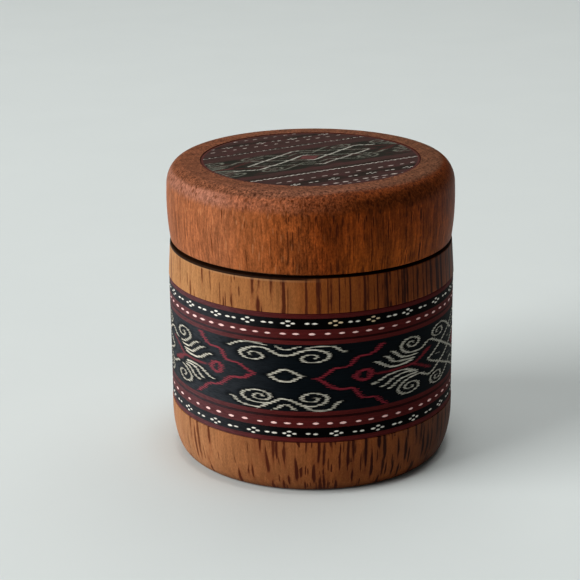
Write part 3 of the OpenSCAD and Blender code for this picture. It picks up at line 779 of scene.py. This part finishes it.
def cloth(name, lo, table, faded=False):
    sh = Shader(name)
    uv = sh.node("ShaderNodeUVMap", uv_map="Weave").outputs[0]
    s, th, _ = sh.split(uv)
    rib = sh.math("MULTIPLY", sh.math("ABSOLUTE", sh.math("SUBTRACT", sh.math("FRACT", th), 0.5)), 2.0)
    sub = sh.math("FLOOR", sh.math("MULTIPLY", th, 2.0))
    own = sh.node("ShaderNodeTexWhiteNoise", noise_dimensions="1D")
    sh.put(own.inputs["W"], sub)
    own = own.outputs["Value"]
    lane = sh.math("MULTIPLY", sub, 7.37)
    slow = sh.noise(sh.join(sh.math("MULTIPLY", s, 0.45), lane, 0.0), detail=1.0, dims="2D").outputs[0]
    quick = sh.noise(sh.join(sh.math("MULTIPLY", s, 2.4), lane, 0.0), detail=2.0, dims="2D").outputs[0]
    fuzz = sh.noise(sh.join(sh.math("MULTIPLY", s, 6.0), sh.math("MULTIPLY", th, 3.0), 0.0), detail=2.0, dims="2D").outputs[0]
    # the dye creeps along each thread by its own amount, and a thread is dyed alike right across
    whole_rib = sh.node("ShaderNodeTexWhiteNoise", noise_dimensions="1D")
    sh.put(whole_rib.inputs["W"], sh.math("FLOOR", th))
    turns = sh.math("MULTIPLY_ADD", sh.math("MODULO", sub, 2.0), 0.56, -0.28)
    creep = sh.math("ADD", sh.line(whole_rib.outputs["Value"], 0.0, 1.0, -0.14, 0.14), sh.line(own, 0.0, 1.0, -0.22, 0.22))
    creep = sh.math("ADD", creep, turns)
    creep = sh.math("ADD", creep, sh.line(quick, 0.2, 0.8, -0.22, 0.22))
    across = sh.math("MULTIPLY", sh.math("SUBTRACT", 0.5, sh.math("FRACT", sh.math("MULTIPLY", th, 2.0))), 0.45 * THREAD)
    lot = sh.math("MULTIPLY", sh.line(own, 0.0, 1.0, 0.84, 1.16), sh.line(slow, 0.25, 0.75, 0.86, 1.14))
    edge = sh.math("MULTIPLY_ADD", sh.math("SUBTRACT", quick, 0.5), 0.16, sh.math("MULTIPLY_ADD", th, THREAD, lo))
    base = sh.vmath("SCALE", stripes(sh, edge, lo, table), scale=lot)
    if faded:
        blush = sh.noise(sh.join(sh.math("MULTIPLY", s, 0.16), sh.math("MULTIPLY", th, 0.13), 0.0), detail=2.0, dims="2D").outputs[0]
        base = sh.mix(sh.line(blush, 0.45, 0.75, 0.0, 0.6), base, (0.062, 0.0230, 0.0225))

    def dye(base, name, colour, other, soft, grow, valley, dim=0.0, rim=0.0, ragged=1.0):
        d = sh.math("MULTIPLY_ADD", sh.math("MULTIPLY", creep, ragged), sh.attr(name + "_g"), sh.attr(name))
        d = sh.math("MULTIPLY_ADD", across, sh.attr(name + "_t"), d)
        d = sh.math("ADD", d, sh.math("MULTIPLY_ADD", rib, 0.06, -grow))
        # where a line climbs across the threads it is broader, duller and more broken
        steep = sh.step(sh.attr(name + "_s"), 0.25, 0.85)
        d = sh.math("MULTIPLY_ADD", steep, -0.13 * dim, d)
        m = sh.step(d, soft, -soft)
        if rim:
            base = sh.vmath("SCALE", base, scale=sh.step(d, 0.12, 0.62, 1.0 - rim, 1.0))
        ink = sh.mix(sh.step(slow, 0.3, 0.7), colour, other)
        deep = sh.math("MULTIPLY_ADD", steep, -0.6 * dim, -valley)
        ink = sh.vmath("SCALE", ink, scale=sh.math("MULTIPLY_ADD", sh.math("MULTIPLY", rib, rib), deep, 1.0))
        ink = sh.vmath("SCALE", ink, scale=sh.math("MULTIPLY_ADD", steep, -0.6 * dim, 1.0))
        return sh.mix(m, base, ink)

    if faded:
        base = dye(base, "dred", (0.070, 0.024, 0.020), (0.052, 0.020, 0.017), 0.18, 0.0, 0.3)
        base = dye(base, "red", (0.135, 0.048, 0.045), (0.100, 0.036, 0.034), 0.15, 0.02, 0.3)
        beam = sh.step(sh.attr("beam"), 0.40, 0.12)
        base = dye(base, "cream", sh.mix(beam, (0.215, 0.220, 0.180), (0.580, 0.570, 0.500)), sh.mix(beam, (0.125, 0.129, 0.103), (0.390, 0.386, 0.335)),
                   0.12, -0.05, 0.5)
        w1, w2, p1, p2 = (0.36, 0.345, 0.31), (0.56, 0.535, 0.48), (0.30, 0.24, 0.215), (0.45, 0.385, 0.35)
    else:
        base = dye(base, "dred", (0.175, 0.015, 0.021), (0.110, 0.011, 0.015), 0.17, 0.0, 0.3)
        # the red is made up to 12% brighter towards the band's left end
        red_left_gain = sh.line(s, -40.0, 2.0, 1.12, 1.0)
        base = dye(base, "red", sh.vmath("SCALE", (0.300, 0.027, 0.043), scale=red_left_gain), sh.vmath("SCALE", (0.205, 0.020, 0.031), scale=red_left_gain),
                   0.12, -0.07, 0.5, 0.30, 0.4, 1.3)
        base = dye(base, "cream", (0.830, 0.785, 0.670), (0.600, 0.570, 0.470), 0.10, -0.09, 0.4, 0.50, 0.68)
        w1, w2, p1, p2 = (0.68, 0.65, 0.58), (0.92, 0.88, 0.79), (0.92, 0.55, 0.52), (0.97, 0.68, 0.64)
    nub = sh.math("MULTIPLY", sh.math("SUBTRACT", quick, 0.5), 0.10)
    base = sh.mix(sh.step(sh.math("ADD", sh.attr("pink"), nub), 0.06, -0.05), base, sh.mix(sh.step(slow, 0.3, 0.7), p1, p2))
    white = sh.mix(sh.step(slow, 0.3, 0.7), w1, w2)
    if not faded:
        # two of the upper crosses are yellowed
        off = sh.math("ABSOLUTE", sh.math("SUBTRACT", s, 18.55))
        old = sh.math("MULTIPLY", sh.math("MULTIPLY", sh.step(off, 2.3, 3.0), sh.step(off, 8.2, 7.6)), sh.step(th, 60.0, 61.0))
        white = sh.mix(old, white, (0.72, 0.56, 0.36))
    base = sh.mix(sh.step(sh.math("ADD", sh.attr("white"), nub), 0.06, -0.05), base, white)
    if not faded:
        # the lit end of the band is painted paler and bluer, a painted sheen
        left_sheen = sh.math("MULTIPLY", sh.step(s, 4.0, -30.0), sh.step(s, -95.0, -60.0))
        left_sheen = sh.math("MULTIPLY", left_sheen, sh.step(sh.attr("cream"), 0.10, 1.00, 0.50, 1.12))
        base = sh.vmath("ADD", base, sh.vmath("SCALE", (0.0222, 0.0240, 0.0278), scale=sh.math("MULTIPLY", left_sheen, sh.line(slow, 0.25, 0.75, 0.7, 1.3))))
    base = sh.vmath("SCALE", base, scale=sh.line(fuzz, 0.2, 0.8, 0.80, 1.18))
    if faded:
        # the cut edge is bound with a dark red thread
        x, y, _ = sh.split(sh.place_mm()[0])
        out = sh.math("SQRT", sh.math("MULTIPLY_ADD", x, x, sh.math("MULTIPLY", y, y)))
        base = sh.mix(sh.step(out, DISC_R - 0.85, DISC_R - 0.55), base, (0.085, 0.027, 0.023))
    twist = sh.math("SINE", sh.math("MULTIPLY_ADD", s, 14.0, sh.math("MULTIPLY", th, 9.0)))
    height = sh.math("MULTIPLY_ADD", twist, 0.25, fuzz)
    sh.set(Base_Color=base, Roughness=sh.line(fuzz, 0.2, 0.8, *((0.78, 0.94) if faded else (0.50, 0.66))), Normal=sh.bump(height, 0.35, 0.00005))
    sh.set(Specular_IOR_Level=0.02 if faded else 0.013, Sheen_Weight=0.02 if faded else 0.03, Sheen_Roughness=0.4)
    return sh.mat


def put_attr(me, name, values):
    a = me.attributes.new(name, "FLOAT", "POINT")
    a.data.foreach_set("value", np.asarray(values, np.float32).ravel())


def put_fields(me, fields, step, pick, rest):
    """Stores each figure's distance, and how fast it changes along and across the threads, on the mesh's points."""
    for name, (d, rise) in zip(("cream", "red", "dred"), fields):
        put_attr(me, name + "_s", np.concatenate([pick(rise), np.zeros(rest)]))
        put_attr(me, name, np.concatenate([pick(d), np.full(rest, 1.0)]))
        put_attr(me, name + "_g", np.concatenate([pick(np.gradient(d, step, axis=1)), np.zeros(rest)]))
        put_attr(me, name + "_t", np.concatenate([pick(np.gradient(d, THREAD / 2, axis=0)), np.zeros(rest)]))


# ------------------------------------------------------------------ band round the body
BAND_STRIPES = [(16.5, MAROON), (19.4, BLACK), (22.25, MAROON), (22.95, DEEP), (24.1, MAROON), (42.95, NAVY),
                (44.05, MAROON), (44.65, DEEP), (47.15, MAROON), (50.2, BLACK), (BAND_Z + BAND_W, MAROON)]


def make_band(mat):
    n, cols = 75, 640
    pitch = BAND_W / n
    r = np.random.RandomState(908)
    gap = 0.15 / 39.5
    ang = np.linspace(-math.pi + gap, math.pi - gap, cols + 1)
    s = BODY_R * ang + 7.5
    rows = 2 * n + 1
    z = BAND_Z + np.arange(rows) * pitch / 2
    fields = motif(s, z - 33.83)
    for d, _ in fields:
        d[(z < 23.95) | (z > 43.12)] = 1.0
    top = onward([-31.3, -20.6, -10.4, 0.7, 13.3, 23.8, 34.8, 47.1], -135, 150, 11.2, r)
    low = onward([-33.9, -21.7, -9.3, 0.8, 13.5, 25.3, 37.5, 50.8], -135, 150, 12.1, r)
    white = floats(cross_row(48.9, top, r) + cross_row(17.75, low, r), s, z)
    top = onward([-36.0, -32.8, -29.2, -25.8, -22.3, -18.7, -15.0, -11.8, -8.3, -4.7, -0.6, 2.9, 7.1, 11.2, 15.0, 18.6, 22.5, 26.1, 30.4,
                  35.0, 39.0, 42.5], -135, 150, 3.7, r)
    low = onward([-42.1, -38.0, -33.4, -28.9, -24.4, -20.4, -16.1, -11.7, -7.3, -3.3, 0.3, 3.8, 7.9, 11.7, 15.3, 19.6, 23.2, 27.5, 31.8,
                  36.5], -135, 150, 4.1, r)
    pink = floats(dot_row(45.97, top, r) + dot_row(20.7, low, r), s, z)
    # places: a ridge for each thread, over and under the weft in turn
    lift = np.clip(0.5 - np.minimum(white, pink) / 0.22, 0, 1)
    wav = wave_noise(77, 0.06)
    k = np.arange(rows)[:, None]
    i = np.arange(cols + 1)[None, :]
    ridge = 39.895 + 0.018 * np.where((i + k // 2) % 2 == 0, 1.0, -1.0)
    rad = np.where(k % 2 == 1, ridge, 39.845) + 0.045 * lift + 0.012 * wav(s[None, :], 2 * z[:, None])
    rad[[0, -1]] = 39.76
    zz = z[:, None] + 0.03 * wav(s[None, :] * 1.3 + 40, z[:, None] * 0.4)
    outer = np.stack([rad * np.sin(ang), -rad * np.cos(ang), zz], -1).reshape(-1, 3)
    inner = np.zeros((2, cols + 1, 3))
    for a, h in enumerate((BAND_Z, BAND_Z + BAND_W)):
        inner[a] = np.stack([39.5 * np.sin(ang), -39.5 * np.cos(ang), np.full(cols + 1, h)], -1)
    allv = np.vstack([outer, inner.reshape(-1, 3)]) * MM
    w = cols + 1
    base = rows * w
    k, i = np.meshgrid(np.arange(rows - 1), np.arange(cols), indexing="ij")
    k, i = k.ravel(), i.ravel()
    quads = np.stack([k * w + i, k * w + i + 1, (k + 1) * w + i + 1, (k + 1) * w + i], -1)
    c = np.arange(cols)
    last = (rows - 1) * w
    lowf = np.stack([base + c, base + c + 1, c + 1, c], -1)
    high = np.stack([last + c, last + c + 1, base + w + c + 1, base + w + c], -1)
    back = np.stack([base + w + c, base + w + c + 1, base + c + 1, base + c], -1)
    faces = [tuple(f) for f in np.vstack([quads, lowf, high, back])]
    left = [kk * w for kk in range(rows)] + [base + w, base]
    right = [kk * w + cols for kk in range(rows)] + [base + w + cols, base + cols]
    faces += [tuple(left), tuple(reversed(right))]
    ob = finish_mesh("cloth_band", allv, faces, mat)
    me = ob.data
    rest = sum(len(f) for f in faces) - 4 * len(quads)
    put_fields(me, fields, s[1] - s[0], np.ravel, 2 * w)
    put_attr(me, "white", np.concatenate([white.ravel(), np.full(2 * w, 1.0)]))
    put_attr(me, "pink", np.concatenate([pink.ravel(), np.full(2 * w, 1.0)]))
    # s in millimetres and thread number, for the yarn; and a map of the whole band
    wv = np.stack([np.stack([s[i], s[i + 1], s[i + 1], s[i]], -1), np.stack([k, k, k + 1, k + 1], -1) / 2.0], -1).reshape(-1, 2)
    wv = np.vstack([wv, np.zeros((rest, 2))])
    me.uv_layers.new(name="Weave").uv.foreach_set("vector", wv.astype(np.float32).ravel())
    u = lambda a: 0.002 + 0.99 * a / cols
    v = lambda a: 0.03 + 0.90 * a / (rows - 1)
    bk = [np.stack([np.stack([u(i), u(i + 1), u(i + 1), u(i)], -1), np.stack([v(k), v(k), v(k + 1), v(k + 1)], -1)], -1).reshape(-1, 2)]
    for v0, v1 in ((0.012, 0.022), (0.935, 0.945), (0.955, 0.99)):
        bk.append(np.stack([np.stack([u(c), u(c + 1), u(c + 1), u(c)], -1),
                            np.tile((v0, v0, v1, v1), (cols, 1))], -1).reshape(-1, 2))
    for v0 in (0.1, 0.5):
        m = rows + 2
        e = np.stack([np.full(m, 0.9955), v0 + 0.3 * np.minimum(np.arange(m), rows) / rows], -1)
        e[-2:, 0] = 0.999
        e[-1, 1] = v0
        bk.append(e)
    me.uv_layers.new(name="OFBake").uv.foreach_set("vector", np.vstack(bk).astype(np.float32).ravel())
    return ob


# ------------------------------------------------------------------ disc on the lid
DISC_STRIPES = [(-24.0, BROWN), (-20.3, DARK), (-13.4, BROWN), (-11.6, DARK), (-8.6, BROWN), (9.5, MOSS), (14.5, BROWN), (15.8, DARK),
                (23.5, BROWN), (25.5, DARK), (DISC_R, BROWN)]


def make_disc(mat):
    n = 127
    turn = math.radians(29.5)
    pitch = 2 * DISC_R / n
    dp = 0.43
    r = np.random.RandomState(311)
    m = int(DISC_R / dp) + 1
    p = np.arange(-m, m + 1) * dp
    q = -DISC_R + np.arange(2 * n + 1) * pitch / 2
    fields = motif(AXIS + p + 0.1, q - 1.35)
    for d, _ in fields:
        d[(q < -8.6) | (q > 9.5)] = 1.0
    run = lambda first, step: onward([first], -40, 40, step, r)
    white = floats(cross_row(-22.6, onward([-17.8, -6.0, 5.6, 17.2], -40, 40, 11.6, r), r, 0.88)
                   + cross_row(22.5, onward([-14.0, -3.2, 7.0, 17.5], -40, 40, 10.6, r), r, 0.88)
                   + rope_row(-13.8, run(0.0, 1.9), 1.15) + rope_row(14.1, run(0.7, 1.9), 0.85), p, q)
    pink = floats(dot_row(-18.7, run(0.5, 3.45), r, 0.95) + dot_row(-26.6, run(1.4, 3.1), r, 1.15) + dot_row(-28.4, run(0.9, 2.6), r, 0.7)
                  + dot_row(19.5, run(0.2, 3.4), r, 0.8) + dot_row(27.4, run(1.0, 3.3), r, 0.85), p, q)
    top = TOP_Z - 0.10
    lift = np.clip(0.5 - np.minimum(white, pink) / 0.22, 0, 1)
    verts, rows, at = [], [], []
    for k in range(2 * n + 1):
        half = math.sqrt(max(DISC_R ** 2 - q[k] ** 2, 0))
        line = []
        if half < 0.2:
            line.append((0.0, m))
        else:
            line.append((-half, max(0, min(2 * m, int(round(-half / dp)) + m))))
            for c in range(2 * m + 1):
                if abs(p[c]) < half - 0.35 * dp:
                    line.append((p[c], c))
            line.append((half, max(0, min(2 * m, int(round(half / dp)) + m))))
        ids = []
        for e, (pp, c) in enumerate(line):
            if k % 2:
                z = top - 0.04 + 0.016 * (1 if (c + k // 2) % 2 else -1) + 0.035 * lift[k, c]
            else:
                z = top - 0.095 + 0.035 * lift[k, c]
            if e in (0, len(line) - 1):
                z = top - 0.14
            ids.append((len(verts), c, pp))
            verts.append((pp * math.cos(turn) - q[k] * math.sin(turn), pp * math.sin(turn) + q[k] * math.cos(turn), z))
            at.append((k, c))
        rows.append(ids)
    tris = []
    for k in range(2 * n):
        a, b = rows[k], rows[k + 1]
        x = y = 0
        while x < len(a) - 1 or y < len(b) - 1:
            if y == len(b) - 1 or (x < len(a) - 1 and a[x + 1][2] <= b[y + 1][2]):
                t = (a[x], a[x + 1], b[y]); x += 1
            else:
                t = (a[x], b[y + 1], b[y]); y += 1
            tris.append(tuple(v[0] for v in t))
    ring = [rows[k][-1][0] for k in range(2 * n + 1)] + [rows[k][0][0] for k in range(2 * n - 1, 0, -1)]
    start = len(verts)
    for v in ring:
        verts.append((verts[v][0], verts[v][1], TOP_Z - 0.55))
    g = len(ring)
    sides = [(start + a, start + (a + 1) % g, ring[(a + 1) % g], ring[a]) for a in range(g)]
    under = tuple(start + a for a in reversed(range(g)))
    faces = tris + sides + [under]
    ob = finish_mesh("cloth_disc", np.array(verts) * MM, faces, mat)
    me = ob.data
    rest = 4 * g + g
    at = np.array(at)
    pick = lambda a: a[at[:, 0], at[:, 1]]
    put_fields(me, fields, dp, pick, g)
    put_attr(me, "beam", np.concatenate([pick(fields[3][0]), np.full(g, 1.0)]))
    put_attr(me, "white", np.concatenate([pick(white), np.full(g, 1.0)]))
    put_attr(me, "pink", np.concatenate([pick(pink), np.full(g, 1.0)]))
    V = np.array(verts)
    flat = np.array(tris).ravel()
    along = V[:, 0] * math.cos(turn) + V[:, 1] * math.sin(turn)
    across = -V[:, 0] * math.sin(turn) + V[:, 1] * math.cos(turn)
    wv = np.vstack([np.stack([along[flat], (across[flat] + DISC_R) / pitch], -1), np.zeros((rest, 2))])
    me.uv_layers.new(name="Weave").uv.foreach_set("vector", wv.astype(np.float32).ravel())
    unit = lambda idx, k: 0.5 + V[idx, :2] / (2 * DISC_R) * k
    sq = np.array(sides)
    side_uv = np.stack([unit(sq[:, 0], 0.985), unit(sq[:, 1], 0.985), unit(sq[:, 2], 0.965), unit(sq[:, 3], 0.965)], 1).reshape(-1, 2)
    under_uv = 0.06 + V[list(under), :2] / (2 * DISC_R) * 0.1
    bk = np.vstack([unit(flat, 0.96), side_uv, under_uv])
    me.uv_layers.new(name="OFBake").uv.foreach_set("vector", bk.astype(np.float32).ravel())
    return ob


# ------------------------------------------------------------------ the pieces
wood_body = body_wood("streaky_wood")
wood_neck = body_wood("bare_wood_painted_shade", finish=False)
wood_lid = lid_wood("red_wood")

body = turned("body_wood", body_profile(), wood_body, shake=0.006)
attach(body, "box"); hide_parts("body_cup")

neck = turned("neck_wood", neck_profile(), wood_neck, closed=True)
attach(neck, "box"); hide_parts("neck_ring")

lid = turned("lid_wood", lid_profile(), wood_lid, shake=0.006)
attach(lid, "lid"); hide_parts("lid_cap")

band = make_band(cloth("woven_band", BAND_Z, BAND_STRIPES))
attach(band, "box"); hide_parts("body_band")

disc = make_disc(cloth("woven_disc", -DISC_R, DISC_STRIPES, faded=True))
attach(disc, "lid"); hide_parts("lid_disc")

# ------------------------------------------------------------------ floor, light, camera
floor_me = bpy.data.meshes.new("floor")
floor_me.from_pydata([(-6, -6, -0.0002), (6, -6, -0.0002), (6, 6, -0.0002), (-6, 6, -0.0002)], [], [(0, 1, 2, 3)])
floor = bpy.data.objects.new("floor", floor_me)
bpy.context.scene.collection.objects.link(floor)
fsh = Shader("pale_floor")
fp, _ = fsh.place_mm()
fmot = fsh.noise(fp, scale=0.02, detail=3.0).outputs[0]
fsh.set(Base_Color=fsh.mix(fmot, (0.675, 0.730, 0.735), (0.705, 0.760, 0.765)), Roughness=0.7, Specular_IOR_Level=0.1)
floor_me.materials.append(fsh.mat)


def area_light(name, azimuth, elevation, distance, size, power, colour):
    """A soft box aimed at the object. Azimuth 0 is in front of it, and grows towards its right."""
    a, e = math.radians(azimuth), math.radians(elevation)
    back = Vector((math.sin(a) * math.cos(e), -math.cos(a) * math.cos(e), math.sin(e)))
    li = bpy.data.lights.new(name, "AREA")
    li.shape, li.size, li.size_y = "RECTANGLE", size[0], size[1]
    li.energy, li.color = power, colour
    ob = bpy.data.objects.new(name, li)
    ob.location = Vector((0, 0, 0.045)) + back * distance
    ob.rotation_mode = "QUATERNION"
    ob.rotation_quaternion = (-back).to_track_quat("-Z", "Y")
    bpy.context.scene.collection.objects.link(ob)
    return ob


area_light("key", -68, 26, 3.0, (2.0, 2.0), 100.0, (1.0, 0.985, 0.96))
area_light("back", 165, 66, 2.2, (2.4, 2.4), 22.0, (1.0, 0.99, 0.955))
area_light("lamp", 20, 86, 1.6, (0.35, 0.35), 5.0, (1.0, 0.99, 0.97))

world = bpy.data.worlds.new("room")
bpy.context.scene.world = world
world.use_nodes = True
bg = world.node_tree.nodes["Background"]
bg.inputs[0].default_value = (1.0, 0.97, 0.93, 1.0)
bg.inputs[1].default_value = 0.06

cam = bpy.data.cameras.new("camera")
cam.sensor_width = 36.0
cam.lens = 1713.155 / 580 * 36.0
cam.clip_start, cam.clip_end = 0.01, 30.0
cam_ob = bpy.data.objects.new("camera", cam)
pitch, roll = 0.32198, -0.0105
fwd = Vector((0, math.cos(pitch), -math.sin(pitch)))
up = Vector((0, math.sin(pitch), math.cos(pitch)))
right = Vector((1, 0, 0))
rx = right * math.cos(roll) + up * math.sin(roll)
ry = -right * math.sin(roll) + up * math.cos(roll)
rot = Matrix((rx, ry, -fwd)).transposed()
cam_ob.matrix_world = Matrix.Translation((-0.0060, -0.45998, 0.198376)) @ rot.to_4x4()
bpy.context.scene.collection.objects.link(cam_ob)
bpy.context.scene.camera = cam_ob

scene = bpy.context.scene
scene.view_settings.view_transform = "Standard"
scene.view_settings.look = "None"
scene.view_settings.exposure = 0.0
scene.view_settings.gamma = 1.0

bpy.context.view_layer.update()
